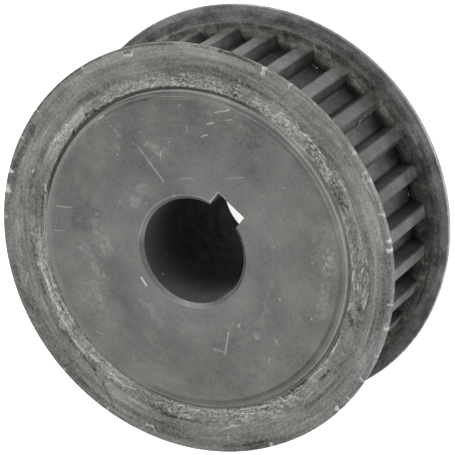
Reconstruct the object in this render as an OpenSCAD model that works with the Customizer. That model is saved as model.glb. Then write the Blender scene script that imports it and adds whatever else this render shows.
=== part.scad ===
// Timing belt pulley: a grooved body with a keyed bore and a rear boss, and a pressed ring at each
// end of the grooves that keeps the belt on.
// Z runs along the bore. The boss end stands at z = 0 and the flat front face is on top.
// The keyway and one groove are centred on the +Y side.

/* [Belt grooves] */
// Number of grooves round the body
groove_count = 28; // [26:1:48]
// Belt pitch, from groove to groove along the pitch line
belt_pitch = 10; // [9.6:0.1:12]
// Height of the pitch line above the tooth tips
pitch_line_h = 0.94; // [0.5:0.02:1.5]
// Width of a groove at its mouth
groove_w = 6.7; // [5.4:0.1:7.2]
// Depth of a groove
groove_depth = 3.4; // [2:0.1:3.8]
// Lean of each groove flank
flank_angle = 25; // [15:1:28]
// Radius in the two corners of a groove's floor
root_r = 0.6; // [0.2:0.1:0.8]
// Flat broken off each long edge of a groove's mouth
mouth_break = 0.25; // [0.1:0.05:0.5]
// Chamfer round both ends of the tooth tips
tooth_end_chamfer = 0.5; // [0.2:0.1:1]

/* [Body] */
// Clear width between the two flange rings
belt_gap = 31.2; // [20:0.1:60]
// Height of the front face above the flat of the front flange ring
face_h = 1.25; // [1:0.05:3]
// Length of the boss behind the flat of the rear flange ring
boss_len = 10.15; // [4:0.05:30]
// Diameter of the boss
boss_d = 60; // [48:1:66]
// Height of the ring that stands round the foot of the boss
rear_lip_h = 1.25; // [0.8:0.05:2]
// Width of the shoulder, under the grooves, that a flange ring rests on
shoulder_w = 1.7; // [1:0.1:2.4]
// Width of the open channel between a flange ring and the lip inside it
channel_w = 0.75; // [0.4:0.05:1.2]
// Width of the lower lip round the front face, with the slope that leads down to it
lip_w = 1.85; // [1:0.05:3]
// Drop from the front face to the lip
lip_drop = 0.7; // [0.3:0.05:0.8]
// Width of the slope between the front face and the lip
lip_slope_w = 0.45; // [0.2:0.05:0.7]
// Small flat that breaks the other outer edges
edge_break = 0.2; // [0.1:0.05:0.4]

/* [Bore] */
// Diameter of the bore
bore_d = 25; // [16:1:32]
// Chamfer at both ends of the bore
bore_chamfer = 1; // [0.4:0.1:2]
// Width of the keyway
key_w = 8; // [5:1:10]
// Depth of the keyway, outward from the bore's wall
key_depth = 3.4; // [2.3:0.1:4]
// Small flat that breaks the keyway's edges at both ends of the bore
key_break = 0.2; // [0.1:0.05:0.4]

/* [Flange rings] */
// Thickness of the sheet
sheet_t = 1.2; // [0.8:0.1:2]
// Height of a flange ring's rim above the tooth tips
flange_h = 5.4; // [4.8:0.1:8]
// Width of the border that is bent away from the belt
flare_w = 4.2; // [3:0.1:4.6]
// Angle of the bent border
flare_angle = 13; // [5:1:20]
// Inside radius of the bend
bend_r = 2; // [1:0.5:4]

/* [Hidden] */
steel_colour = [0.42, 0.43, 0.42];
flange_colour = [0.45, 0.46, 0.43];
$fn = 180;
// Overrun of a cutter past the solid that it cuts
cut = 1;
// Straight pieces in the arc of a groove corner, and in the bend of a flange ring
corner_steps = 3;
bend_steps = 4;

groove_step = 360 / groove_count;
tip_r = groove_count * belt_pitch / (2 * PI) - pitch_line_h;
seat_r = tip_r - groove_depth - shoulder_w;
lip_r = seat_r - channel_w;
face_r = lip_r - lip_w;
flange_r = tip_r + flange_h;
bend_start_r = flange_r - flare_w;
// A flange ring grips the body over half of its thickness, below the open channel
seat_h = sheet_t / 2;

// Heights from the boss end up to the front face
rear_seat_z = boss_len + sheet_t;
front_seat_z = rear_seat_z + belt_gap;
total_h = front_seat_z + sheet_t + face_h;
rear_lip_z = boss_len - rear_lip_h;
lip_z = total_h - lip_drop;
key_floor_y = bore_d / 2 + key_depth;

// Points of an arc round centre, from angle a0 to angle a1
function arc(centre, radius, a0, a1, steps) =
    [for (i = [0:steps]) let (a = a0 + (a1 - a0) * i / steps) centre + radius * [cos(a), sin(a)]];

// Right half of a groove's outline, from the floor up, with the mouth at y = 0 and the floor below it
function half_groove() =
    let (
        floor_half = groove_w / 2 - groove_depth * tan(flank_angle),
        corner = [floor_half - root_r * tan(45 - flank_angle / 2), root_r - groove_depth],
        flank_top = [groove_w / 2 - mouth_break * sin(flank_angle), -mouth_break * cos(flank_angle)]
    )
    concat(
        arc(corner, root_r, 270, 360 - flank_angle, corner_steps),
        [flank_top, [groove_w / 2 + mouth_break, 0], [groove_w / 2 + mouth_break + cut, 2 * cut]]
    );

module groove() {
    right = half_groove();
    left = [for (i = [len(right) - 1:-1:0]) [-right[i].x, right[i].y]];
    // The tip circle falls away from the mouth's middle, so the outline starts where its edges meet it
    mouth_y = sqrt(tip_r * tip_r - groove_w * groove_w / 4);
    translate([0, mouth_y, rear_seat_z - cut])
        linear_extrude(belt_gap + 2 * cut)
            polygon(concat(right, left));
}

// Half section of the turned body, without grooves and keyway
module body_section() {
    bore_r = bore_d / 2;
    boss_r = boss_d / 2;
    polygon([
        [bore_r, bore_chamfer],
        [bore_r + bore_chamfer, 0],
        [boss_r - edge_break, 0],
        [boss_r, edge_break],
        [boss_r, rear_lip_z],
        [lip_r - edge_break, rear_lip_z],
        [lip_r, rear_lip_z + edge_break],
        [lip_r, rear_seat_z - seat_h],
        [seat_r, rear_seat_z - seat_h],
        [seat_r, rear_seat_z],
        [tip_r - tooth_end_chamfer, rear_seat_z],
        [tip_r, rear_seat_z + tooth_end_chamfer],
        [tip_r, front_seat_z - tooth_end_chamfer],
        [tip_r - tooth_end_chamfer, front_seat_z],
        [seat_r, front_seat_z],
        [seat_r, front_seat_z + seat_h],
        [lip_r, front_seat_z + seat_h],
        [lip_r, lip_z - edge_break],
        [lip_r - edge_break, lip_z],
        [face_r + lip_slope_w, lip_z],
        [face_r, total_h],
        [bore_r + bore_chamfer, total_h],
        [bore_r, total_h - bore_chamfer]
    ]);
}

// Cutter that widens the keyway upward from z = 0, to break its two walls' edges and its floor's edge
module keyway_break() {
    half = key_w / 2;
    wide = half + key_break;
    top = key_break + cut;
    intersection() {
        translate([0, key_floor_y + key_break, 0])
            rotate([90, 0, 0])
                linear_extrude(key_floor_y + key_break)
                    polygon([
                        [-half, 0],
                        [half, 0],
                        [wide, key_break],
                        [wide, top],
                        [-wide, top],
                        [-wide, key_break]
                    ]);
        translate([-wide, 0, 0])
            rotate([90, 0, 90])
                linear_extrude(2 * wide)
                    polygon([
                        [0, 0],
                        [key_floor_y, 0],
                        [key_floor_y + key_break, key_break],
                        [key_floor_y + key_break, top],
                        [0, top]
                    ]);
    }
}

// Slot for the key, from the axis out to the keyway's floor
module keyway() {
    translate([-key_w / 2, 0, -cut])
        cube([key_w, key_floor_y, total_h + 2 * cut]);
    translate([0, 0, total_h - key_break])
        keyway_break();
    translate([0, 0, key_break])
        mirror([0, 0, 1])
            keyway_break();
}

module toothed_body() {
    color(steel_colour)
        difference() {
            rotate_extrude()
                body_section();
            for (i = [0:groove_count - 1])
                rotate(i * groove_step)
                    groove();
            keyway();
        }
}

// Half section of a flange ring: it rests on z = 0 and its border bends upward
module flange_section() {
    along = [cos(flare_angle), sin(flare_angle)];
    across = [-sin(flare_angle), cos(flare_angle)];
    bend_centre = [bend_start_r, sheet_t + bend_r];
    belt_side = arc(bend_centre, bend_r + sheet_t, 270, 270 + flare_angle, bend_steps);
    outer_side = arc(bend_centre, bend_r, 270 + flare_angle, 270, bend_steps);
    border_start = belt_side[bend_steps];
    border_len = (flange_r - border_start.x) / along.x;
    rim = border_start + border_len * along;
    polygon(concat(
        [[seat_r, 0]],
        belt_side,
        [
            rim - edge_break * along,
            rim + edge_break * across,
            rim + (sheet_t - edge_break) * across,
            rim + sheet_t * across - edge_break * along
        ],
        outer_side,
        [[seat_r + edge_break, sheet_t], [seat_r, sheet_t - edge_break]]
    ));
}

module flange_ring() {
    rotate_extrude()
        flange_section();
}

module front_flange() {
    color(flange_colour)
        translate([0, 0, front_seat_z])
            flange_ring();
}

module rear_flange() {
    color(flange_colour)
        translate([0, 0, rear_seat_z])
            mirror([0, 0, 1])
                flange_ring();
}

toothed_body();
front_flange();
rear_flange();
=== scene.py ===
"""Looks, lights and camera for the timing belt pulley."""
import math

import bpy
from mathutils import Matrix, Vector


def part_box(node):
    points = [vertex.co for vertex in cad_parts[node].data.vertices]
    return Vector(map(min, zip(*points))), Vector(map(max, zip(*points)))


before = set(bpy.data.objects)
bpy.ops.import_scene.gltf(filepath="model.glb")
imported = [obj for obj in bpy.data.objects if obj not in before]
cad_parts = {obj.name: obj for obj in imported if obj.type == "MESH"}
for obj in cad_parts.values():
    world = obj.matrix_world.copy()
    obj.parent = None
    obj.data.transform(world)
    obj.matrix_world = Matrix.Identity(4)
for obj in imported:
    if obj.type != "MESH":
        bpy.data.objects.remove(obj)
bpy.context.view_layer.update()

MM = 0.001

# Sizes of the part that its finishes follow, in millimetres: heights from the boss end, and radii
TOTAL_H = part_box("toothed_body")[1].z / MM
REAR_RING_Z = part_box("rear_flange")[1].z / MM
RIM_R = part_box("front_flange")[1].x / MM
BORE_R = 12.5
BORE_EDGE_R = 13.5
KEYWAY_R = 16.5
FACE_R = 35.92
SLOPE_FOOT_R = 36.37
LIP_R = 37.77
RING_HOLE_R = 38.52
TIP_R = 43.62
GROOVE_DEPTH = 3.4
FLOOR_R = TIP_R - GROOVE_DEPTH
BEND_R = 44.82
FLARE = math.radians(13)
# How far the front rim's end face reaches outward along the flared border
RIM_REACH = 57.53
# Heights on the front rim's end face: its upper edge is above the first, and its lower below the second
RIM_UPPER_Z = 44.2
RIM_LOWER_Z = 43.65
# Radius where the pale dust on the front ring ends
DUST_R = 41.3
# The whole part is between these two radii, so a zone that starts or ends at one has no edge there
AXIS = 0
BEYOND = 60
# Spread of one octave of noise round its middle value
NOISE_SPREAD = 0.13
# Range of noise over which a mark or a patch goes from its faintest to its strongest
NOISE_FADE = (0.36, 0.60)

# Colours of the metal, what is added to them where they turn olive, cool or bare, and colours of the
# pale dust on the front ring and of the dirt on the rear ring
BODY_METAL = (0.182, 0.184, 0.176)
BODY_OLIVE = (-0.0018, 0.0022, -0.0045)
BODY_COOL = (-0.0025, 0.0010, 0.0015)
FRONT_RING_METAL = (0.196, 0.203, 0.186)
FRONT_RING_BARE = (0.001, -0.007, 0.010)
FRONT_RING_DUST = (0.204, 0.212, 0.182)
REAR_RING_METAL = (0.188, 0.190, 0.182)
REAR_RING_DIRT = (0.25, 0.33, 0.08)

# Camera: the photograph's direction, distance and lens, round a point at the height of the front rim
CAMERA_AZIMUTH = 168.519
CAMERA_ELEVATION = 58.350
CAMERA_ROLL = -126.478
CAMERA_RANGE = 726.638 * MM
CAMERA_TARGET = (2.498 * MM, 10.919 * MM, 44.56 * MM)
CAMERA_LENS = 255.86
SENSOR = 36

# Scratches on the front face, and in the last two rows a painted highlight along the keyway's left edge
# and corner: start, end, width in millimetres, and gain in tone
FACE_SCRATCHES_AND_HIGHLIGHT = (
    ((-24.3, 10.2), (-20.3, 9.3), 0.55, 0.60),
    ((-20.3, 9.3), (-15.3, 8.3), 0.50, 0.80),
    ((-16.2, 30.4), (-15.7, 31.3), 0.45, 1.10),
    ((-15.3, 31.7), (-14.1, 33.3), 0.45, 1.00),
    ((-13.2, 30.9), (-12.3, 32.1), 0.40, 0.60),
    ((-15.9, 26.8), (-15.0, 28.4), 0.45, 1.10),
    ((-15.1, 23.6), (-14.3, 25.1), 0.45, 1.10),
    ((-19.3, 23.0), (-18.1, 21.9), 0.45, 0.45),
    ((-20.2, 13.5), (-18.9, 11.7), 0.50, 0.45),
    ((-12.7, 12.0), (-10.5, 14.3), 0.40, 0.35),
    ((-4.5, 20.4), (-1.9, 23.5), 0.40, 0.45),
    ((6.3, 18.8), (6.2, 21.4), 0.40, 0.35),
    ((-12.5, -32.6), (-11.9, -26.5), 0.35, 0.30),
    ((-5.4, -33.9), (-3.8, -33.0), 0.40, 0.50),
    ((-5.2, -14.4), (-3.1, -15.0), 0.55, 2.20),
    ((-31.0, -16.4), (-28.0, -13.8), 0.40, 0.75),
    ((-27.9, -21.6), (-26.5, -20.4), 0.40, 0.55),
    ((18.3, -8.9), (20.9, -13.7), 0.60, 0.80),
    ((18.1, -14.8), (20.2, -13.6), 0.45, 0.60),
    ((17.5, -5.3), (18.3, -8.9), 0.40, 0.25),
    ((-35.5, 9.4), (-35.9, 8.2), 0.70, 0.90),
    ((-35.9, 8.0), (-36.0, 7.0), 0.50, 0.40),
    ((-13.2, 2.6), (-11.4, 7.3), 0.40, 0.40),
    # Painted highlight along the keyway's left edge and its corner
    ((-4.2, 12.4), (-4.2, 15.9), 0.55, 1.00),
    ((-4.2, 16.1), (-1.8, 16.2), 0.45, 0.60),
)

# Small bright pits on the front face: centre, width in millimetres, and gain in tone
FACE_DOTS = (
    ((-23.4, 25.5), 0.9, 0.60),
    ((-19.9, 16.8), 0.8, 0.60),
    ((6.4, 28.7), 0.7, 0.70),
    ((22.0, 7.0), 0.7, 1.30),
    ((30.4, 9.0), 0.8, 1.30),
    ((29.3, -6.4), 0.8, 0.70),
    ((29.6, -7.1), 0.7, 0.60),
    ((-32.7, 9.2), 0.8, 0.60),
    ((-27.4, 5.1), 0.8, 1.00),
    ((-26.0, 10.0), 0.7, 0.70),
    ((-26.5, 13.5), 0.8, 0.45),
    ((-15.2, 1.0), 0.9, 0.50),
    ((-20.3, -3.6), 0.8, 0.55),
    ((-22.5, -10.4), 1.0, 0.50),
    ((-11.3, 7.5), 1.0, 0.55),
    ((13.4, 15.8), 0.7, 0.60),
    ((24.7, 23.4), 0.7, 0.80),
    ((24.7, 22.0), 0.7, 0.80),
    ((22.3, 19.7), 0.7, 0.60),
)

# Faint pale and dark clouds on the front face: start, end, width in millimetres, and gain in tone
FACE_CLOUDS = (
    ((-23.5, 12.8), (-19.5, 13.5), 3.0, 0.30),
    ((-31.0, 10.5), (-28.9, 6.3), 3.0, 0.24),
    ((-17.9, 3.0), (-17.7, -1.5), 3.2, 0.26),
    ((-21.5, -12.5), (-15.5, -15.5), 4.5, 0.26),
    ((-20.0, -19.5), (-13.0, -21.5), 3.5, 0.26),
    ((-12.5, -24.5), (-8.0, -28.0), 3.0, 0.16),
    ((18.3, 8.2), (22.5, -1.0), 2.2, 0.16),
    ((23.5, 25.0), (31.5, 11.5), 3.0, 0.24),
    ((27.6, -1.8), (28.0, -2.2), 1.7, 0.45),
    ((23.4, -3.6), (24.0, -4.4), 1.8, 0.40),
    ((19.2, -5.6), (19.6, -6.0), 1.8, 0.60),
    ((-1.0, -18.5), (5.5, -20.0), 3.0, 0.18),
    ((21.0, 27.0), (25.0, 23.0), 11.0, 0.13),
    ((-11.5, 31.0), (-7.0, 32.0), 9.0, -0.15),
    ((-24.0, 9.0), (-20.0, 14.0), 10.0, 0.08),
    ((-12.0, -27.0), (-6.0, -27.0), 11.0, 0.13),
    ((-20.5, 27.0), (-17.5, 29.5), 8.0, -0.09),
    ((-23.5, -12.0), (-24.5, -14.5), 8.0, -0.12),
    ((31.5, 4.0), (33.0, -2.0), 8.0, -0.08),
    ((27.5, -15.0), (30.0, -13.0), 9.0, 0.10),
)

# Nicks in the front rim: angle from +X in degrees, depth and width in millimetres, and gain in tone
RIM_NICKS = (
    (106.5, 2.05, 1.3, 1.30),
    (106.3, 0.60, 0.7, -0.60),
    (119.5, 1.25, 1, -0.40),
    (98.5, 1.05, 0.7, 0.70),
    (74, 1.05, 1, 0.76),
    (68.5, 1.15, 0.7, 0.80),
    (66, 1.35, 0.9, 0.70),
    (56.5, 1.35, 1.1, 0.95),
    (49.3, 1.25, 1.2, 1.40),
    (46.8, 1.45, 1.1, 1.70),
    (31.5, 1.35, 0.8, 0.95),
    (24.5, 1.25, 1.1, 1.20),
    (16, 1.15, 0.8, 0.95),
    (7.5, 1.55, 1, 1.14),
    (0.5, 1.25, 1, 0.95),
    (355.7, 1.65, 1.5, 1.52),
    (331.5, 1.45, 1, 1.30),
    (280, 1.25, 0.9, 0.76),
    (263.5, 1.45, 1.4, 0.70),
    (216.3, 1.45, 0.9, 0.76),
    (208.3, 1.80, 2.1, 1.80),
    (207.0, 1.50, 1.4, 1.20),
    (202.5, 1.55, 1.5, 1.90),
    (191.5, 1.45, 0.8, 1.14),
    (182, 1.25, 0.8, 0.85),
    (162, 1.05, 0.9, 0.95),
)

# Soft stains and pale places on the front ring: angle in degrees and radius in millimetres at both
# ends, width in millimetres, and gain in tone
RING_STAINS = (
    ((0, 41.0), (2.5, 41.0), 1.0, -0.25),
    ((5, 38.7), (16, 38.6), 0.6, -0.35),
    ((21, 40.6), (24, 39.4), 1.6, -0.25),
    ((24, 42.4), (33, 42.0), 1.2, 0.16),
    ((36, 42.5), (39.5, 42.6), 0.8, 0.35),
    ((47, 40.2), (58, 40.0), 2.2, -0.16),
    ((30, 43.4), (47, 43.2), 1.0, -0.10),
    ((33, 44.6), (46, 44.6), 0.7, 0.12),
    ((47, 46.3), (60, 46.2), 2.2, 0.10),
    ((61, 40.1), (69, 39.9), 3.2, -0.36),
    ((72, 40.6), (79, 40.9), 1.0, 0.30),
    ((87, 40.6), (97, 40.8), 2.2, 0.22),
    ((76, 42.8), (96, 42.9), 1.0, -0.15),
    ((97, 43.2), (110, 43.2), 1.2, -0.08),
    ((85, 47.2), (97, 47.2), 1.8, -0.10),
    ((120, 44.1), (134, 44.1), 2.2, -0.06),
    ((167, 38.9), (171, 39.2), 1.2, -0.45),
    ((171, 39.2), (181, 38.7), 1.0, -0.42),
    ((164, 42.8), (171, 42.6), 0.8, -0.20),
    ((171, 40.9), (185, 40.9), 1.6, 0.26),
    ((163.3, 46.2), (163.6, 48.0), 1.0, -0.12),
    ((184, 44.6), (193, 44.5), 1.6, 0.14),
    ((187, 47.0), (201, 47.6), 2.0, -0.20),
    ((207, 43.4), (226, 43.2), 1.0, 0.14),
    ((222, 42.1), (241, 42.1), 1.3, -0.20),
    ((223, 40.2), (231, 40.7), 0.9, 0.28),
    ((231.2, 40.9), (233, 40.8), 1.8, 0.34),
    ((233, 43.7), (247, 43.6), 1.2, 0.16),
    ((231, 47.6), (244, 47.4), 2.0, -0.12),
    ((245.5, 39.5), (248, 39.4), 1.1, -0.42),
    ((252.5, 38.9), (254, 41.6), 2.4, 0.20),
    ((254, 42.6), (262, 42.3), 1.0, -0.20),
    ((262, 42.3), (270, 42.8), 1.0, -0.22),
    ((270, 42.8), (275, 43.9), 1.0, -0.22),
    ((275, 43.9), (281, 46.8), 1.3, -0.18),
    ((285, 42.8), (291, 42.4), 2.2, 0.16),
    ((292, 42.9), (299, 42.6), 1.0, -0.16),
    ((300, 42.4), (312, 42.3), 1.2, -0.24),
    ((310, 43.4), (316, 43.3), 0.8, 0.16),
    ((317, 43.2), (322.5, 42.7), 0.9, 0.36),
    ((325, 41.6), (329, 41.4), 0.9, 0.22),
    ((336, 42.2), (340, 43.2), 0.8, 0.20),
    ((347, 44.0), (354, 43.8), 1.6, -0.14),
    ((342, 38.9), (354, 38.9), 0.7, -0.38),
    ((322, 38.8), (335, 38.8), 0.6, -0.34),
    ((357.5, 40.8), (360, 40.9), 0.9, -0.28),
)

# Thin flakes, lines and arcs on the front ring, given in the same way
RING_FLAKES = (
    ((0, 39.3), (2.5, 39.4), 0.45, 0.45),
    ((3.6, 39.5), (5.2, 39.2), 0.40, 0.50),
    ((8.6, 39.1), (12, 39.15), 0.50, 0.60),
    ((12, 39.1), (16, 39.1), 0.35, 0.30),
    ((17, 44.9), (24.5, 44.6), 0.40, 0.25),
    ((19, 48.3), (26, 48.3), 0.50, 0.35),
    ((25.5, 39.0), (28, 39.0), 0.50, 0.50),
    ((28, 42.3), (33, 42.8), 0.50, 0.30),
    ((33, 42.0), (40, 41.9), 0.40, 0.30),
    ((39.4, 41.1), (40.8, 41.6), 0.50, 0.70),
    ((33.2, 40.3), (35, 40.2), 0.60, 0.45),
    ((36, 38.8), (39.6, 39.2), 0.60, 0.60),
    ((41, 38.85), (45.5, 38.8), 0.35, 0.50),
    ((47, 38.8), (60, 38.75), 0.32, 0.45),
    ((42, 42.5), (46.5, 41.9), 0.40, 0.30),
    ((46.5, 41.9), (60, 41.7), 0.35, 0.25),
    ((61, 41.7), (66, 41.8), 0.40, 0.25),
    ((66, 41.9), (69.5, 41.7), 0.60, 0.35),
    ((61, 48.1), (63.8, 47.5), 0.40, 0.35),
    ((63.8, 47.5), (66.8, 47.3), 0.60, 0.55),
    ((66.8, 47.3), (68.6, 48.2), 0.40, 0.40),
    ((75, 40.4), (77.5, 40.9), 0.50, 0.40),
    ((77, 41.6), (83, 41.5), 0.50, 0.40),
    ((84, 41.6), (87, 41.4), 0.60, 0.40),
    ((82.5, 38.8), (98, 38.8), 0.35, 0.50),
    ((89.5, 41.6), (91.5, 42.3), 0.50, 0.40),
    ((91.5, 42.3), (96.5, 41.6), 0.40, 0.30),
    ((91.8, 48.35), (95.8, 48.2), 0.30, 0.40),
    ((91.5, 48.65), (95.8, 48.5), 0.28, -0.25),
    ((104.5, 40.3), (107.5, 40.1), 0.50, 0.40),
    ((112.2, 43.1), (112.8, 43.4), 0.60, 0.30),
    ((119, 39.05), (135, 39.05), 0.35, 0.35),
    ((145.5, 47.8), (146.3, 47.0), 0.60, 0.50),
    ((146.3, 47.0), (148.2, 47.2), 0.75, 0.60),
    ((146.8, 47.9), (148.4, 47.9), 0.80, -0.35),
    ((148.2, 47.2), (148.9, 48.0), 0.40, 0.40),
    ((191, 38.9), (193, 38.8), 0.50, 0.50),
    ((199.7, 43.2), (200.3, 43.2), 0.80, 0.60),
    ((202.5, 39.4), (204.5, 38.9), 0.50, 0.70),
    ((206, 38.9), (208, 38.8), 0.40, 0.40),
    ((205, 39.5), (214, 39.2), 0.50, -0.28),
    ((214, 39.2), (222, 39.5), 0.40, -0.20),
    ((206, 45.2), (212.5, 44.5), 0.40, -0.28),
    ((217, 45.7), (219, 45.3), 0.40, 0.35),
    ((219, 45.3), (222.5, 45.0), 0.40, 0.30),
    ((225, 45.5), (228, 45.3), 0.40, 0.30),
    ((220.5, 44.9), (226, 45.0), 0.35, -0.25),
    ((232.5, 39.5), (239, 39.6), 0.50, -0.30),
    ((233.6, 45.0), (237.5, 46.3), 0.45, 0.30),
    ((234, 40.7), (240, 40.5), 1.00, 0.50),
    ((240, 40.6), (244.3, 40.9), 0.90, 0.60),
    ((245, 40.6), (247.7, 40.3), 1.00, 0.55),
    ((246.5, 38.85), (253.5, 38.80), 0.60, 0.55),
    ((249, 41.0), (257, 40.9), 0.90, 0.35),
    ((258, 41.5), (264, 41.4), 1.00, 0.40),
    ((265.5, 40.6), (268.5, 40.2), 1.20, 0.45),
    ((273, 40.5), (279, 40.5), 0.90, 0.40),
    ((274, 39.1), (283, 39.1), 0.40, 0.30),
    ((275.5, 43.5), (277, 42.4), 0.50, 0.25),
    ((280.5, 41.0), (285, 40.0), 0.50, 0.30),
    ((291.3, 48.0), (292.3, 46.8), 0.45, 0.35),
    ((292.3, 46.7), (294.3, 46.6), 0.70, 0.50),
    ((294.3, 46.6), (295.5, 47.8), 0.45, 0.35),
    ((293.2, 40.4), (294.5, 40.2), 0.70, 0.40),
    ((296, 41.7), (300, 41.4), 0.45, 0.25),
    ((300.5, 39.3), (303, 39.0), 0.45, 0.50),
    ((306, 39.6), (309, 39.3), 0.50, 0.45),
    ((311, 38.95), (316, 39.3), 0.35, 0.30),
    ((313, 40.5), (321, 40.1), 0.50, 0.30),
    ((318.2, 45.2), (318.6, 46.1), 0.50, 0.30),
    ((323, 39.0), (334, 39.15), 0.35, 0.40),
    ((325, 39.9), (329, 40.4), 0.45, 0.35),
    ((329, 40.4), (333.5, 40.6), 0.40, 0.30),
    ((334.3, 39.4), (335, 39.3), 0.70, 0.45),
    ((341.2, 38.8), (341.8, 39.8), 0.60, 0.60),
    ((341.8, 39.8), (343, 40.3), 0.50, 0.50),
    ((344.6, 39.5), (347, 41.0), 0.50, 0.35),
    ((346.3, 43.2), (348.5, 42.2), 0.40, 0.25),
    ((348.5, 42.2), (352.5, 41.9), 0.50, 0.25),
    ((352.5, 44.4), (353.3, 44.2), 0.60, 0.40),
    ((354, 39.2), (361, 39.3), 0.40, 0.55),
)

# Marks on the rear ring's belt side, given in the same way
REAR_RING_STAINS = (
    ((107.6, 44.5), (106.6, 43.1), 1.0, 0.55),
    ((106.6, 43.1), (105.8, 41.9), 0.7, 0.70),
    ((107.6, 42.7), (106.3, 41.0), 0.6, -0.80),
    ((103.1, 45.4), (101.5, 43.7), 0.6, 0.45),
    ((101.5, 43.7), (100.0, 41.9), 0.7, 0.60),
    ((98.8, 42.8), (99.4, 41.6), 1.5, 0.80),
    ((87, 41.8), (91.5, 42.2), 1.7, 0.70),
    ((75, 43.1), (80.5, 43.3), 1.9, 0.60),
    ((62, 42.8), (66, 42.5), 1.4, 0.30),
    ((111, 42.8), (114, 41.8), 2.0, 0.70),
    ((109, 44.2), (113, 43.4), 1.2, 0.20),
    ((104, 46.6), (74, 46.4), 1.4, -0.12),
    ((70, 46.4), (66, 46.0), 2.4, 0.20),
    ((60, 45.6), (40, 46.4), 1.5, -0.12),
)

# Bright specks in the grooves: angle in degrees, radius, height and width in millimetres, and gain
GROOVE_SPECKS = (
    (105.6, 40.2, 12.0, 0.7, 5.0),
    (104.8, 40.2, 12.4, 0.8, 6.0),
    (103.6, 40.2, 12.5, 1.2, 8.0),
    (50.4, 40.2, 11.2, 1.6, 5.0),
    (80.2, 41.2, 13.4, 1.2, 7.0),
    (80.4, 41.6, 15.0, 1.0, 4.0),
    (80.4, 41.6, 17.1, 1.0, 4.0),
    (80.2, 41.2, 19.8, 1.2, 7.0),
    (80.4, 41.6, 24.0, 1.0, 4.0),
    (99.8, 40.3, 22.0, 0.8, 1.5),
    (89.5, 40.3, 17.5, 0.8, 1.2),
    (103.0, 40.6, 17.5, 0.7, 1.2),
    (119.6, 42.8, 20.0, 0.7, 3.0),
)

# Where fine specks are scattered on one flank of the groove beside the keyway's one: radii and heights
# in millimetres and angles in degrees, each with the width of the soft edges
FLANK_RADII = (40.6, 43.0, 0.2)
FLANK_HEIGHTS = (13.0, 26.0, 2.0)
FLANK_ANGLES = (79.3, 81.3, 0.4)

# Zones of the body's front with a tone set apart, most of them painted light and shade: inner and outer
# radius and width of their soft edges in millimetres, first and last angle and width of their soft ends in
# degrees, and gain in tone outside those angles and between them
SLOPE = (FACE_R, SLOPE_FOOT_R, 0.05)
LIP = (SLOPE_FOOT_R, LIP_R, 0.1)
FACE_ZONES = (
    # The slope: painted light and shade, lighter or darker on each side as the light falls
    (SLOPE, (290, 400, 20), 0.0, 0.28),
    (SLOPE, (48, 74, 8), 0.0, 0.18),
    (SLOPE, (165, 235, 15), 0.04, 0.62),
    # Painted shade: a darker band at the slope's foot on one side
    ((36.35, 36.75, 0.15), (290, 410, 20), 0.0, -0.16),
    # Painted highlight lines at the slope's foot
    ((36.42, 36.58, 0.10), (55, 138, 8), 0.0, 0.55),
    ((36.42, 36.52, 0.08), (104, 141, 5), 0.0, 0.60),
    # The lip: painted light and shade, lighter or darker on each side as the light falls
    (LIP, (168, 280, 15), 0.0, 0.15),
    (LIP, (20, 72, 12), 0.0, 0.12),
    (LIP, (95, 160, 12), 0.0, -0.13),
    (LIP, (320, 366, 12), 0.0, -0.10),
    # Painted highlight along the lip's edge
    ((LIP_R - 0.20, LIP_R - 0.04, 0.04), (-78, 88, 12), 0.25, 1.0),
    # Painted highlight along the bore's chamfer on one side, and painted shade on its other side
    ((BORE_EDGE_R - 0.15, BORE_EDGE_R + 0.10, 0.10), (85, 200, 20), 0.10, 0.70),
    ((BORE_R + 0.1, BORE_EDGE_R - 0.2, 0.1), (85, 200, 20), 0.0, 0.45),
    ((BORE_R + 0.1, BORE_EDGE_R - 0.1, 0.1), (225, 330, 25), 0.0, -0.25),
    ((AXIS, FACE_R - 0.2, 0.2), (140, 250, 35), 0.0, -0.07),
    ((AXIS, 17, 6), (220, 372, 20), 0.04, 0.12),
    ((30, BEYOND, 4), (140, 168, 10), 0.0, -0.12),
)

# Zones of the front ring, given in the same way
FRONT_RING_ZONES = (
    ((46.6, BEYOND, 1.3), (55, 165, 10), 0.0, 0.14),
    ((46.8, 48.3, 0.7), (95, 165, 12), 0.0, 0.22),
    ((46.4, BEYOND, 1.8), (246, 322, 12), 0.0, -0.18),
    ((45.0, BEYOND, 0.7), (292, 325, 10), 0.0, -0.12),
    ((39.4, 41.7, 0.5), (172, 192, 5), 0.0, 0.22),
    ((42.8, 44.5, 0.6), (264, 292, 6), 0.0, 0.22),
    ((43.6, 46.0, 0.8), (172, 200, 12), 0.0, 0.16),
    ((42.4, 43.6, 0.5), (60, 160, 15), -0.06, -0.10),
    ((38.7, 42.0, 0.4), (15, 42, 8), 0.0, -0.16),
    ((38.7, 41.6, 0.4), (172, 190, 6), 0.0, 0.16),
    ((38.7, 40.4, 0.4), (290, 312, 8), 0.0, -0.13),
    ((44.1, 45.4, 0.4), (48, 72, 8), 0.0, 0.18),
    ((44.1, 45.4, 0.4), (262, 312, 8), 0.0, -0.15),
    ((44.1, 45.4, 0.4), (140, 160, 8), 0.0, -0.12),
    ((47.4, BEYOND, 0.6), (290, 312, 8), 0.0, 0.20),
    ((47.4, BEYOND, 0.6), (322, 340, 8), 0.0, -0.14),
    ((45.5, 46.8, 0.4), (-12, 12, 8), 0.0, 0.12),
    ((45.5, 46.8, 0.4), (52, 100, 8), 0.0, 0.11),
)

# Sectors of the front ring with more of the pale dust: first and last angle and width of their soft
# ends in degrees, and how much more
DUSTY_SECTORS = (
    ((24, 60, 6), 0.35),
    ((72, 160, 6), 0.70),
    ((171, 186, 4), 0.50),
    ((224, 345, 8), 0.60),
)
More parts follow.
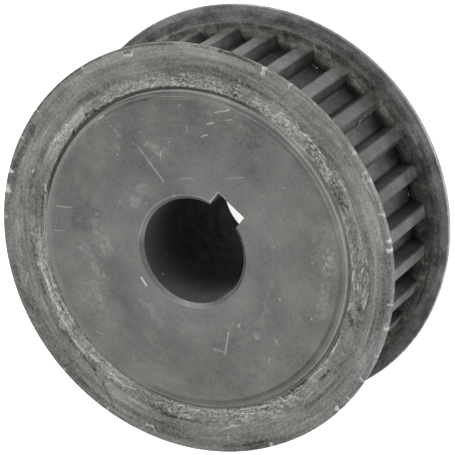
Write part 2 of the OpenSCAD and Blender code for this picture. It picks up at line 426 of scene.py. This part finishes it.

# Zones of the rear ring's belt side, given as those of the body's front; the first two are painted
# highlights along the bend and along the rim's edge
REAR_RING_ZONES = (
    # Painted highlight along the bend
    ((44.75, 45.05, 0.2), (112, 165, 10), 0.12, 0.55),
    # Painted highlight along the rim's edge
    ((RIM_R - 0.25, BEYOND, 0.2), (-10, 60, 15), 0.60, 1.20),
    ((47.8, BEYOND, 1.4), (22, 150, 12), 0.04, 0.22),
    ((47.8, BEYOND, 1.4), (38, 78, 10), 0.0, 0.28),
    ((AXIS, 45.2, 0.8), (76, 118, 8), 0.0, 0.22),
    ((AXIS, 45.2, 0.8), (-5, 70, 8), 0.0, -0.14),
    ((45.8, 47.0, 0.4), (118, 160, 10), 0.0, -0.16),
)


class Graph:
    """The nodes of one material. Places are in millimetres, and each method returns an output socket."""

    def __init__(self, name):
        self.material = bpy.data.materials.new(name)
        self.material.use_nodes = True
        self.tree = self.material.node_tree
        self.shader = self.tree.nodes["Principled BSDF"]
        metres = self.tree.nodes.new("ShaderNodeTexCoord").outputs["Object"]
        self.place = self.vector("SCALE", metres, scale=1 / MM)
        flat = self.vector("MULTIPLY", self.place, (1, 1, 0))
        self.radius = self.vector("LENGTH", flat)
        self.around = self.vector("NORMALIZE", flat)
        split = self.tree.nodes.new("ShaderNodeSeparateXYZ")
        self.feed(split.inputs[0], self.place)
        self.height = split.outputs["Z"]

    def feed(self, socket, value):
        """Links a socket to an output, or sets its value."""
        if isinstance(value, bpy.types.NodeSocket):
            self.tree.links.new(value, socket)
        else:
            socket.default_value = value

    def math(self, operation, a, b=0.0, c=0.0):
        """One operation on numbers."""
        node = self.tree.nodes.new("ShaderNodeMath")
        node.operation = operation
        for socket, value in zip(node.inputs, (a, b, c)):
            self.feed(socket, value)
        return node.outputs[0]

    def vector(self, operation, a, b=(0, 0, 0), scale=1.0):
        """One operation on vectors."""
        node = self.tree.nodes.new("ShaderNodeVectorMath")
        node.operation = operation
        self.feed(node.inputs[0], a)
        if operation == "SCALE":
            self.feed(node.inputs["Scale"], scale)
        else:
            self.feed(node.inputs[1], b)
        gives_number = operation in ("LENGTH", "DISTANCE", "DOT_PRODUCT")
        return node.outputs["Value" if gives_number else "Vector"]

    def total(self, *terms):
        """Sum of terms."""
        result = terms[0]
        for term in terms[1:]:
            result = self.math("ADD", result, term)
        return result

    def product(self, *factors):
        """Product of factors."""
        result = factors[0]
        for factor in factors[1:]:
            result = self.math("MULTIPLY", result, factor)
        return result

    def ramp(self, value, start, stop, low=0.0, high=1.0):
        """Goes smoothly from low to high while value goes from start to stop."""
        node = self.tree.nodes.new("ShaderNodeMapRange")
        node.interpolation_type = "SMOOTHSTEP"
        for socket, given in zip(node.inputs, (value, start, stop, low, high)):
            self.feed(socket, given)
        return node.outputs[0]

    def mix(self, share, low, high):
        """Low where share is 0, high where it is 1, and smoothly from one to the other between."""
        return self.ramp(share, 0, 1, low, high)

    def band(self, value, start, stop, edge):
        """1 between start and stop, with soft edges of that width outside them."""
        return self.product(self.ramp(value, start - edge, start), self.ramp(value, stop + edge, stop))

    def sector(self, start, stop, edge, low=0.0, high=1.0):
        """High between two angles from +X in degrees, less than a half turn apart, and low elsewhere."""
        middle = math.radians((start + stop) / 2)
        half = math.radians((stop - start) / 2)
        nearness = self.vector("DOT_PRODUCT", self.around, (math.cos(middle), math.sin(middle), 0))
        outside = math.cos(min(half + math.radians(edge), math.pi))
        return self.ramp(nearness, outside, math.cos(half), low, high)

    def noise(self, place, size, detail=2.0, roughness=0.5, distortion=0.0):
        """Noise from 0 to 1, with lumps of about that size."""
        node = self.tree.nodes.new("ShaderNodeTexNoise")
        self.feed(node.inputs["Vector"], place)
        node.inputs["Scale"].default_value = 1 / size
        node.inputs["Detail"].default_value = detail
        node.inputs["Roughness"].default_value = roughness
        node.inputs["Distortion"].default_value = distortion
        return node.outputs["Fac"]

    def sway(self, place, size, amount, detail=2.0, roughness=0.5):
        """Noise round 0 that mostly stays within twice the amount."""
        weights = [roughness ** octave for octave in range(round(detail) + 1)]
        spread = NOISE_SPREAD * math.sqrt(sum(weight * weight for weight in weights)) / sum(weights)
        centred = self.math("SUBTRACT", self.noise(place, size, detail, roughness), 0.5)
        return self.math("MULTIPLY", centred, amount / spread)

    def sideways(self):
        """How far the surface faces round the axis: 1 towards larger angles, -1 towards smaller."""
        normal = self.tree.nodes.new("ShaderNodeNewGeometry").outputs["Normal"]
        return self.vector("DOT_PRODUCT", self.vector("CROSS_PRODUCT", self.around, normal), (0, 0, 1))

    def ring_place(self, along, across, turn=0.0):
        """Place for noise in streaks round the axis, along millimetres long and across millimetres wide."""
        round_part = self.vector("SCALE", self.around, scale=TIP_R / along)
        radial_part = self.math("MULTIPLY_ADD", self.radius, 1 / across, turn)
        joined = self.tree.nodes.new("ShaderNodeCombineXYZ")
        self.feed(joined.inputs["Z"], radial_part)
        return self.vector("ADD", round_part, joined.outputs[0])

    def streaks(self, along, across, amount, detail=2.0, roughness=0.5, turn=0.0):
        """Noise round 0 like sway's, in streaks round the axis."""
        return self.sway(self.ring_place(along, across, turn), 1.0, amount, detail, roughness)

    def ragged_place(self, size, amount):
        """Place on the plane across the axis, pushed about by noise, so that marks have ragged edges."""
        node = self.tree.nodes.new("ShaderNodeTexNoise")
        self.feed(node.inputs["Vector"], self.place)
        node.inputs["Scale"].default_value = 1 / size
        centred = self.vector("SUBTRACT", node.outputs["Color"], (0.5, 0.5, 0.5))
        pushed = self.vector("SCALE", centred, scale=4 * amount)
        return self.vector("MULTIPLY", self.vector("ADD", self.place, pushed), (1, 1, 0))

    def stroke(self, place, start, end, width):
        """1 on the line from start to end, and 0 at half of width beside it."""
        start = Vector((*start, 0))
        run = Vector((*end, 0)) - start
        offset = self.vector("SUBTRACT", place, start)
        along = self.vector("DOT_PRODUCT", offset, run / run.length_squared)
        share = self.math("MINIMUM", self.math("MAXIMUM", along, 0.0), 1.0)
        foot = self.vector("SCALE", run, scale=share)
        return self.ramp(self.vector("DISTANCE", offset, foot), 0.5 * width, 0.2 * width)

    def spot(self, place, centre, width):
        """1 at centre, and 0 at half of width from it."""
        return self.ramp(self.vector("DISTANCE", place, centre), 0.5 * width, 0.1 * width)

    def strokes(self, place, rows):
        """Sum of lines, each times its gain. Each is added before the next is made, which keeps the
        shader small."""
        result = 0.0
        for start, end, width, gain in rows:
            result = self.math("MULTIPLY_ADD", self.stroke(place, start, end, width), gain, result)
        return result

    def spots(self, place, rows):
        """Sum of dots given by their middles in 3-D, each times its gain."""
        result = 0.0
        for centre, width, gain in rows:
            result = self.math("MULTIPLY_ADD", self.spot(place, centre, width), gain, result)
        return result

    def zones(self, rows):
        """Sum of zones, each with its own gain."""
        result = 0.0
        for (inner, outer, edge), (first, last, soft), faint, full in rows:
            on_band = self.band(self.radius, inner, outer, edge)
            gain = self.sector(first, last, soft, faint, full)
            result = self.math("MULTIPLY_ADD", on_band, gain, result)
        return result

    def blend(self, first, *others):
        """Sum of colours, each given with its strength."""
        result = self.vector("SCALE", first[0], scale=first[1])
        for colour, strength in others:
            result = self.vector("ADD", result, self.vector("SCALE", colour, scale=strength))
        return result

    def finish(self, colour, roughness, height, metallic):
        """Links what varies over the surface, and sets what doesn't."""
        self.feed(self.shader.inputs["Base Color"], colour)
        self.feed(self.shader.inputs["Roughness"], roughness)
        self.feed(self.shader.inputs["Metallic"], metallic)
        bump = self.tree.nodes.new("ShaderNodeBump")
        bump.inputs["Strength"].default_value = 1.0
        bump.inputs["Distance"].default_value = MM
        self.feed(bump.inputs["Height"], height)
        self.feed(self.shader.inputs["Normal"], bump.outputs[0])
        return self.material


def polar(angle, radius):
    """Place on the plane across the axis, from an angle in degrees and a radius."""
    turn = math.radians(angle)
    return radius * math.cos(turn), radius * math.sin(turn)


def face_marks(graph):
    """Gain in tone from the scratches, dots and clouds on the front face and its lip, and from a painted
    highlight along the keyway's edge.
    """
    sharp = graph.ragged_place(size=0.6, amount=0.06)
    soft = graph.ragged_place(size=2.0, amount=0.9)
    broken = graph.ramp(graph.noise(graph.place, size=1.4, detail=3.0, roughness=0.8), *NOISE_FADE)
    clouds = graph.product(graph.strokes(soft, FACE_CLOUDS), broken, 1.4)
    dots = [((*centre, 0), width, gain) for centre, width, gain in FACE_DOTS]
    return graph.total(graph.strokes(sharp, FACE_SCRATCHES_AND_HIGHLIGHT), graph.spots(sharp, dots), clouds)


def stains(graph, rows, size, push, faint, full):
    """Gain in tone from marks given by angle and radius. Noise of that size moves their edges by about
    push millimetres, and varies their gain from faint to full."""
    place = graph.ragged_place(size, push)
    breaks = graph.noise(graph.place, size=size / 2, detail=2.0, roughness=0.8)
    gain_share = graph.ramp(breaks, *NOISE_FADE, faint, full)
    flat_rows = [(polar(*start), polar(*end), width, gain) for start, end, width, gain in rows]
    return graph.product(graph.strokes(place, flat_rows), gain_share)


def rim_marks(graph):
    """Gain in tone from the nicks in the front ring's rim."""
    rows = []
    for angle, depth, width, gain in RIM_NICKS:
        rows.append((polar(angle, RIM_R - depth + width / 2), polar(angle, RIM_R), width, gain))
    return graph.strokes(graph.ragged_place(size=0.9, amount=0.30), rows)


def groove_specks(graph):
    """Gain in tone from the bright specks in the grooves."""
    rows = []
    for angle, radius, height, width, gain in GROOVE_SPECKS:
        rows.append(((*polar(angle, radius), height), width, gain))
    return graph.spots(graph.place, rows)


def flank_specks(graph):
    """Gain in tone from the fine specks scattered on one flank."""
    gain = 12.0
    scatter = graph.ramp(graph.noise(graph.place, size=0.65, detail=1.0), 0.66, 0.73)
    on_flank = graph.product(
        graph.sector(*FLANK_ANGLES),
        graph.band(graph.radius, *FLANK_RADII),
        graph.band(graph.height, *FLANK_HEIGHTS),
    )
    return graph.product(scatter, on_flank, gain)


def painted_groove_shading(graph):
    """Share of the body's colour that is left in and between the grooves: painted shade on the floors and
    flanks, painted light and shade by the way each flank faces, and the lands near the rear ring lit
    brighter as painted light.
    """
    radius, height = graph.radius, graph.height
    # Painted shade: the groove floors darker than the flanks above them, and the grooves darker towards the
    # rear ring, where this is partly grease
    inside = graph.ramp(radius, FLOOR_R + 0.3, FLOOR_R + 1.4, 0.72, 1.10)
    inside = graph.product(inside, graph.ramp(height, REAR_RING_Z, REAR_RING_Z + 7.0, 0.60, 1.0))
    inside = graph.total(
        inside,
        graph.sway(graph.place, size=2.5, amount=0.07, detail=3.0, roughness=0.8),
        groove_specks(graph),
    )
    sideways = graph.sideways()
    # Painted light and shade: flanks that face towards smaller angles lighter, those that face towards
    # larger angles darker
    inside = graph.product(
        inside,
        graph.ramp(sideways, -0.8, 0.8, 1.55, 0.50),
        graph.sector(86, 170, 6, 1.0, 0.62),
    )
    inside = graph.total(inside, flank_specks(graph))
    # Painted light: the lands lighter near the rear ring, whose shade falls there; near the tips, surfaces
    # that face towards larger angles darker as painted shade
    on_lands = graph.total(
        graph.ramp(height, REAR_RING_Z, REAR_RING_Z + 6.0, 1.55, 0.90),
        graph.sway(graph.place, size=3.0, amount=0.06, detail=4.0, roughness=0.9),
    )
    on_lands = graph.product(
        on_lands,
        graph.ramp(sideways, 0.3, 0.7, 1.0, 0.55),
        graph.sector(52, 89, 5, 1.0, 0.77),
    )
    share = graph.mix(graph.ramp(radius, TIP_R - 0.8, TIP_R - 0.2), inside, on_lands)
    return graph.product(share, graph.sector(100, 160, 8, 1.0, 0.80))


def recesses(graph):
    """How far a point lies in the open channel, the bore or the keyway, which hold dry dirt, and the
    share of the body's colour that is left there, which is mostly painted light and shade: the channel's
    wall lit brighter against its shade, its floor darker or lighter by sector, the bore darker towards its
    depth and lighter on one side, and the keyway at half tone."""
    radius, height = graph.radius, graph.height
    deep = graph.math("SUBTRACT", TOTAL_H, height)
    in_channel = graph.band(radius, LIP_R - 0.02, RING_HOLE_R + 0.1, 0.03)
    in_channel = graph.product(in_channel, graph.ramp(deep, 0.88, 0.96))
    # Painted shade on the channel's floor from 110 to 206 degrees, and painted light on it from 84 to 98
    # and from 207 to 228 degrees
    on_floor = graph.product(
        graph.ramp(radius, LIP_R + 0.15, LIP_R + 0.40, 0.6, 1.5),
        graph.sector(84, 98, 5, 1.0, 2.0),
        graph.sector(207, 228, 5, 1.0, 1.8),
        graph.sector(110, 206, 8, 1.0, 0.40),
    )
    # Painted light: the channel's wall lifted to 2.1 against its shade
    channel = graph.mix(graph.ramp(radius, LIP_R + 0.03, LIP_R + 0.12), 2.1, on_floor)
    in_bore = graph.ramp(radius, BORE_R + 0.12, BORE_R + 0.02)
    # Painted shade: the bore darker towards its depth, and painted light on its side from -5 to 110 degrees
    bore = graph.total(
        graph.product(graph.ramp(deep, 1, 20, 0.50, 0.02), graph.sector(-5, 110, 25, 0.72, 2.2)),
        graph.product(graph.ramp(graph.noise(graph.place, size=0.9, detail=1.0), 0.75, 0.82), 1.4),
    )
    clear_of_bore = graph.ramp(radius, BORE_R + 0.05, BORE_R + 0.15)
    clear_of_chamfer = graph.ramp(graph.math("ADD", deep, radius), BORE_EDGE_R + 0.1, BORE_EDGE_R + 0.2)
    in_keyway = graph.product(
        graph.ramp(radius, KEYWAY_R, KEYWAY_R - 0.2),
        graph.ramp(deep, 0.22, 0.3),
        clear_of_bore,
        clear_of_chamfer,
    )
    # Elsewhere in the recesses, as in the keyway, half of the body's tone is left
    share = graph.mix(in_channel, 0.50, channel)
    share = graph.mix(in_bore, share, bore)
    return graph.total(in_channel, in_bore, in_keyway), share


def body_material():
    """Dark phosphated steel, with marks and painted light and shade on its front, and dirt and painted
    shade in its recesses and grooves.
    """
    graph = Graph("phosphated_steel")
    place, radius, height = graph.place, graph.radius, graph.height
    clouds = graph.total(
        graph.sway(place, size=12.0, amount=0.085, detail=4.0, roughness=0.8),
        graph.sway(place, size=0.5, amount=0.035, detail=1.0),
    )
    turned = graph.streaks(along=60, across=0.4, amount=0.02, detail=3.0, roughness=0.7)
    specks = graph.ramp(graph.noise(place, size=0.55, detail=1.0), 0.76, 0.84, 0.0, 0.7)
    lip_lines = graph.product(
        graph.streaks(along=60, across=0.3, amount=0.16, detail=1.0),
        graph.band(radius, *LIP),
        graph.sector(125, 205, 15, 0.25, 1.0),
    )
    # Painted highlight along the keyway's chamfer at the front
    keyway_chamfer_highlight = graph.product(
        graph.band(height, TOTAL_H - 0.2, TOTAL_H - 0.04, 0.02),
        graph.band(radius, BORE_EDGE_R + 0.2, KEYWAY_R + 0.5, 0.1),
        0.5,
    )
    marks = graph.total(face_marks(graph), graph.zones(FACE_ZONES), lip_lines, keyway_chamfer_highlight)
    on_front = graph.ramp(height, TOTAL_H - 1.0, TOTAL_H - 0.92)
    tone = graph.total(1.0, clouds, turned, specks, graph.product(marks, on_front))
    # dirt marks the recesses, which get a rough non-metal finish; the shares of tone below, from the
    # recesses and the grooves, are mostly painted light and shade
    dirt, painted_recess_share = recesses(graph)
    beyond_lip = graph.ramp(radius, RING_HOLE_R, RING_HOLE_R + 0.1)
    share = graph.mix(beyond_lip, 1.0, painted_groove_shading(graph))
    share = graph.mix(dirt, share, painted_recess_share)
    tone = graph.product(graph.math("MAXIMUM", tone, 0.3), share)
    olive = graph.total(
        graph.product(graph.ramp(radius, 20, 34, 0.0, 0.8), graph.sector(-110, 60, 25, 0.2, 1.0)),
        graph.sway(place, size=6.0, amount=0.28, detail=3.0, roughness=0.8),
    )
    beyond_ring_hole = graph.ramp(radius, RING_HOLE_R, RING_HOLE_R + 1.0)
    olive = graph.product(olive, graph.mix(beyond_ring_hole, 1.0, 0.2))
    colour = graph.blend(
        (BODY_METAL, tone),
        (BODY_OLIVE, graph.product(olive, tone)),
        (BODY_COOL, graph.product(beyond_ring_hole, tone)),
    )
    roughness = graph.total(
        0.52,
        graph.sway(place, size=3.0, amount=0.03, detail=3.0),
        graph.product(dirt, 0.35),
    )
    bumps = graph.total(
        graph.sway(place, size=0.5, amount=0.003, detail=2.0),
        graph.streaks(along=60, across=0.4, amount=0.001, detail=2.0),
    )
    return graph.finish(colour, roughness, bumps, graph.mix(dirt, 1.0, 0.0))


def ring_tone(graph, fine):
    """Uneven tone of a phosphated sheet ring, in blots, grains and streaks round the axis."""
    place = graph.place
    return graph.total(
        graph.sway(place, size=14.0, amount=0.08, detail=2.0, roughness=0.7),
        graph.sway(place, size=0.6, amount=fine, detail=1.0, roughness=1.0),
        graph.streaks(along=26, across=1.8, amount=0.085, detail=2.0, roughness=0.7),
        graph.streaks(along=8, across=0.7, amount=0.08, detail=2.0, roughness=0.8, turn=3.0),
    )


def front_ring_material():
    """Stained and flaked sheet, with pale dust near the ring's hole and nicks in its rim, painted
    highlights and shade along the rim's edges, painted shade at the hole on one side, and painted light on
    the hole's wall.
    """
    graph = Graph("front_ring_steel")
    place, radius, height = graph.place, graph.radius, graph.height
    zone_edge = graph.total(radius, graph.sway(place, size=4.0, amount=0.5, detail=3.0, roughness=0.8))
    in_zone = graph.band(zone_edge, RING_HOLE_R - 0.8, DUST_R, 0.8)
    strong = graph.total(0.30, *(graph.sector(*ends, 0.0, more) for ends, more in DUSTY_SECTORS))
    patches = graph.ramp(graph.noise(place, size=4.5, detail=2.0), *NOISE_FADE, 0.45, 1.15)
    flake_place = graph.ring_place(along=0.95, across=0.42, turn=5.0)
    flakes = graph.noise(flake_place, size=1.0, detail=2.0, roughness=0.8, distortion=0.3)
    dust = graph.product(in_zone, strong, patches, graph.ramp(flakes, 0.42, 0.62, -0.28, 0.95))
    reach = graph.total(graph.product(radius, math.cos(FLARE)), graph.product(height, math.sin(FLARE)))
    on_rim = graph.ramp(reach, RIM_REACH - 0.10, RIM_REACH - 0.02)
    on_upper_edge = graph.product(
        graph.band(reach, RIM_REACH - 0.30, RIM_REACH, 0.06),
        graph.ramp(height, RIM_UPPER_Z - 0.1, RIM_UPPER_Z + 0.1),
    )
    on_lower_edge = graph.product(
        graph.ramp(reach, RIM_REACH - 0.30, RIM_REACH - 0.20),
        graph.ramp(height, RIM_LOWER_Z + 0.05, RIM_LOWER_Z - 0.05),
    )
    rings = graph.total(
        graph.zones(FRONT_RING_ZONES),
        graph.product(graph.band(radius, 44.3, 45.0, 0.5), 0.05),
        graph.product(in_zone, 0.12),
        graph.product(on_rim, graph.sector(115, 180, 8, -0.04, -0.26)),
        # Painted highlight along the rim's upper edge from 15 to 75 degrees and painted shade on it from
        # 112 to 182, and a painted highlight along its lower edge from 70 to 150
        graph.product(on_upper_edge, graph.sector(15, 75, 8, 0.0, 0.30)),
        graph.product(on_upper_edge, graph.sector(112, 182, 8, 0.0, -0.60)),
        graph.product(on_lower_edge, graph.sector(70, 150, 8, 0.05, 0.45)),
    )
    tone = graph.total(
        1.0,
        ring_tone(graph, 0.12),
        rings,
        stains(graph, RING_STAINS, size=1.6, push=0.35, faint=1.2, full=2.0),
        stains(graph, RING_FLAKES, size=0.8, push=0.12, faint=1.0, full=2.3),
        rim_marks(graph),
    )
    ragged_edge = graph.total(radius, graph.sway(place, size=1.0, amount=0.08, detail=2.0, roughness=0.8))
    tone = graph.math("MAXIMUM", tone, 0.25)
    # Painted shade at the ring's hole from 108 to 200 degrees, where the gap beside the lip lies in shade
    painted_gap_shade = graph.ramp(ragged_edge, RING_HOLE_R + 0.36, RING_HOLE_R + 0.18)
    painted_gap_shade = graph.product(painted_gap_shade, graph.sector(108, 200, 10))
    tone = graph.product(tone, graph.mix(painted_gap_shade, 1.0, 0.42))
    in_hole = graph.ramp(radius, RING_HOLE_R + 0.12, RING_HOLE_R + 0.04)
    # Painted light: the hole's wall lit brighter against its shade, most from 207 to 228 degrees
    tone = graph.product(tone, graph.mix(in_hole, 1.0, graph.sector(207, 228, 5, 1.6, 2.6)))
    bare = graph.total(radius, graph.sway(place, size=6.0, amount=0.8, detail=3.0, roughness=0.8))
    bare = graph.product(graph.ramp(bare, 46.6, 48.4), graph.sector(5, 58, 14, 0.2, 1.0))
    colour = graph.blend(
        (FRONT_RING_METAL, tone),
        (FRONT_RING_BARE, graph.product(bare, tone)),
        (FRONT_RING_DUST, dust),
    )
    roughness = graph.total(0.55, graph.sway(place, size=2.0, amount=0.05, detail=3.0))
    bumps = graph.total(
        graph.sway(place, size=0.5, amount=0.006, detail=3.0, roughness=0.7),
        graph.product(dust, 0.03),
    )
    return graph.finish(colour, roughness, bumps, graph.mix(in_hole, 1.0, 0.0))


def rear_ring_material():
    """Stained sheet, with dirt and dust on its belt side at the feet of the teeth, painted shade over that
    side between the flanges, and painted highlights along its bend and rim.
    """
    graph = Graph("rear_ring_steel")
    place, radius, height = graph.place, graph.radius, graph.height
    past_bend = graph.math("SUBTRACT", radius, BEND_R + 0.4)
    fall = graph.math("MAXIMUM", graph.product(past_bend, math.tan(FLARE)), 0.0)
    depth = graph.math("SUBTRACT", REAR_RING_Z, graph.math("ADD", height, fall))
    on_belt_side = graph.ramp(depth, 0.35, 0.15)
    streaks = graph.total(
        graph.streaks(along=22, across=1.4, amount=0.06, detail=3.0, roughness=0.7, turn=7.0),
        graph.sway(place, size=6.0, amount=0.10, detail=3.0, roughness=0.8),
    )
    dusty = graph.ramp(graph.noise(place, size=3.2, detail=3.0, roughness=0.7), 0.48, 0.62)
    at_feet = graph.product(graph.band(radius, 41.8, 44.6, 0.6), dusty)
    in_grooves = graph.product(
        graph.ramp(radius, TIP_R + 0.2, TIP_R - 0.3),
        graph.sector(88, 130, 6, 0.25, 0.85),
    )
    tone = graph.total(1.0, ring_tone(graph, 0.09))
    # Painted shade: the belt side, between the flanges, starts from 0.66 of the tone; its streaks, stains,
    # dust and zones are added to that
    belt_tone = graph.total(
        0.66,
        streaks,
        stains(graph, REAR_RING_STAINS, size=1.2, push=0.30, faint=0.6, full=1.2),
        graph.product(at_feet, 0.35),
        graph.product(in_grooves, 0.55),
        graph.zones(REAR_RING_ZONES),
    )
    # Darker towards the groove floors, partly painted shade and partly grease, and darker from -60 to 10
    # degrees
    belt_tone = graph.product(
        belt_tone,
        graph.ramp(radius, TIP_R - 3.3, TIP_R - 1.4, 0.35, 1.0),
        graph.sector(-60, 10, 15, 1.0, 0.68),
    )
    tone = graph.product(tone, graph.mix(on_belt_side, 1.0, belt_tone))
    tone = graph.math("MAXIMUM", tone, 0.06)
    dirt = graph.product(graph.math("MAXIMUM", at_feet, in_grooves), on_belt_side, 0.12, tone)
    colour = graph.blend((REAR_RING_METAL, tone), (REAR_RING_DIRT, dirt))
    roughness = graph.total(0.55, graph.sway(place, size=2.0, amount=0.05, detail=3.0))
    bumps = graph.sway(place, size=0.5, amount=0.006, detail=3.0, roughness=0.7)
    return graph.finish(colour, roughness, bumps, 1.0)


def add_camera():
    """Adds the camera, and returns its right, up and near axes."""
    azimuth = math.radians(CAMERA_AZIMUTH)
    elevation = math.radians(CAMERA_ELEVATION)
    forward = Vector((
        -math.sin(azimuth) * math.cos(elevation),
        math.cos(azimuth) * math.cos(elevation),
        -math.sin(elevation),
    ))
    level_right = forward.cross(Vector((0, 0, 1))).normalized()
    level_up = level_right.cross(forward)
    roll = math.radians(CAMERA_ROLL)
    right = level_right * math.cos(roll) + level_up * math.sin(roll)
    up = right.cross(forward)
    data = bpy.data.cameras.new("camera")
    data.lens = CAMERA_LENS
    data.sensor_width = SENSOR
    data.clip_start = 0.05
    data.clip_end = 10
    camera = bpy.data.objects.new("camera", data)
    turn = Matrix((right, up, -forward)).transposed().to_4x4()
    camera.matrix_world = Matrix.Translation(Vector(CAMERA_TARGET) - forward * CAMERA_RANGE) @ turn
    bpy.context.collection.objects.link(camera)
    bpy.context.scene.camera = camera
    return right, up, -forward


def seen_by_view(tree):
    """1 for rays from the camera, from mirrors and through glass, which show the pale ground as it is."""
    rays = tree.nodes.new("ShaderNodeLightPath")
    result = rays.outputs["Is Camera Ray"]
    for name in ("Is Glossy Ray", "Is Transmission Ray"):
        node = tree.nodes.new("ShaderNodeMath")
        node.operation = "MAXIMUM"
        tree.links.new(result, node.inputs[0])
        tree.links.new(rays.outputs[name], node.inputs[1])
        result = node.outputs[0]
    return result


def add_floor():
    """A pale ground. Its glow is only for the rays in seen_by_view, so it doesn't light the part."""
    half = 3.0
    glow_strength = 0.85
    mesh = bpy.data.meshes.new("floor")
    corners = [(-half, -half, 0), (half, -half, 0), (half, half, 0), (-half, half, 0)]
    mesh.from_pydata(corners, [], [(0, 1, 2, 3)])
    floor = bpy.data.objects.new("floor", mesh)
    floor.location.z = -0.2 * MM
    bpy.context.collection.objects.link(floor)
    material = bpy.data.materials.new("floor")
    material.use_nodes = True
    tree = material.node_tree
    shader = tree.nodes["Principled BSDF"]
    shader.inputs["Base Color"].default_value = (0.85, 0.85, 0.85, 1)
    shader.inputs["Roughness"].default_value = 1.0
    shader.inputs["Specular IOR Level"].default_value = 0.0
    shader.inputs["Emission Color"].default_value = (1, 1, 1, 1)
    glow = tree.nodes.new("ShaderNodeMath")
    glow.operation = "MULTIPLY"
    tree.links.new(seen_by_view(tree), glow.inputs[0])
    glow.inputs[1].default_value = glow_strength
    tree.links.new(glow.outputs[0], shader.inputs["Emission Strength"])
    mesh.materials.append(material)


def add_world():
    """White surroundings, at full strength for the rays in seen_by_view and weaker as light."""
    fill = 0.80
    world = bpy.data.worlds.new("studio")
    bpy.context.scene.world = world
    world.use_nodes = True
    tree = world.node_tree
    background = tree.nodes["Background"]
    background.inputs["Color"].default_value = (1, 1, 1, 1)
    strength = tree.nodes.new("ShaderNodeMapRange")
    tree.links.new(seen_by_view(tree), strength.inputs["Value"])
    strength.inputs["To Min"].default_value = fill
    strength.inputs["To Max"].default_value = 1.0
    tree.links.new(strength.outputs[0], background.inputs["Strength"])
    bpy.context.scene.view_settings.view_transform = "Standard"


def add_lamp(name, side, up, near, size, power, axes):
    """A square soft lamp. Its place is measured from the camera's target, along the camera's axes."""
    right, top, back = axes
    place = Vector(CAMERA_TARGET) + right * side + top * up + back * near
    data = bpy.data.lights.new(name, "AREA")
    data.size = size
    data.energy = power
    lamp = bpy.data.objects.new(name, data)
    lamp.location = place
    lamp.rotation_mode = "QUATERNION"
    lamp.rotation_quaternion = (Vector(CAMERA_TARGET) - place).to_track_quat("-Z", "Y")
    bpy.context.collection.objects.link(lamp)


def dress(node, material):
    """Gives a piece its material in place of the one that it has."""
    node.data.materials.clear()
    node.data.materials.append(material)


axes = add_camera()
dress(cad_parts["toothed_body"], body_material())
dress(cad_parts["front_flange"], front_ring_material())
dress(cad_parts["rear_flange"], rear_ring_material())
add_floor()
add_world()
add_lamp("key", side=-0.5, up=0.6, near=0.5, size=0.5, power=3.0, axes=axes)
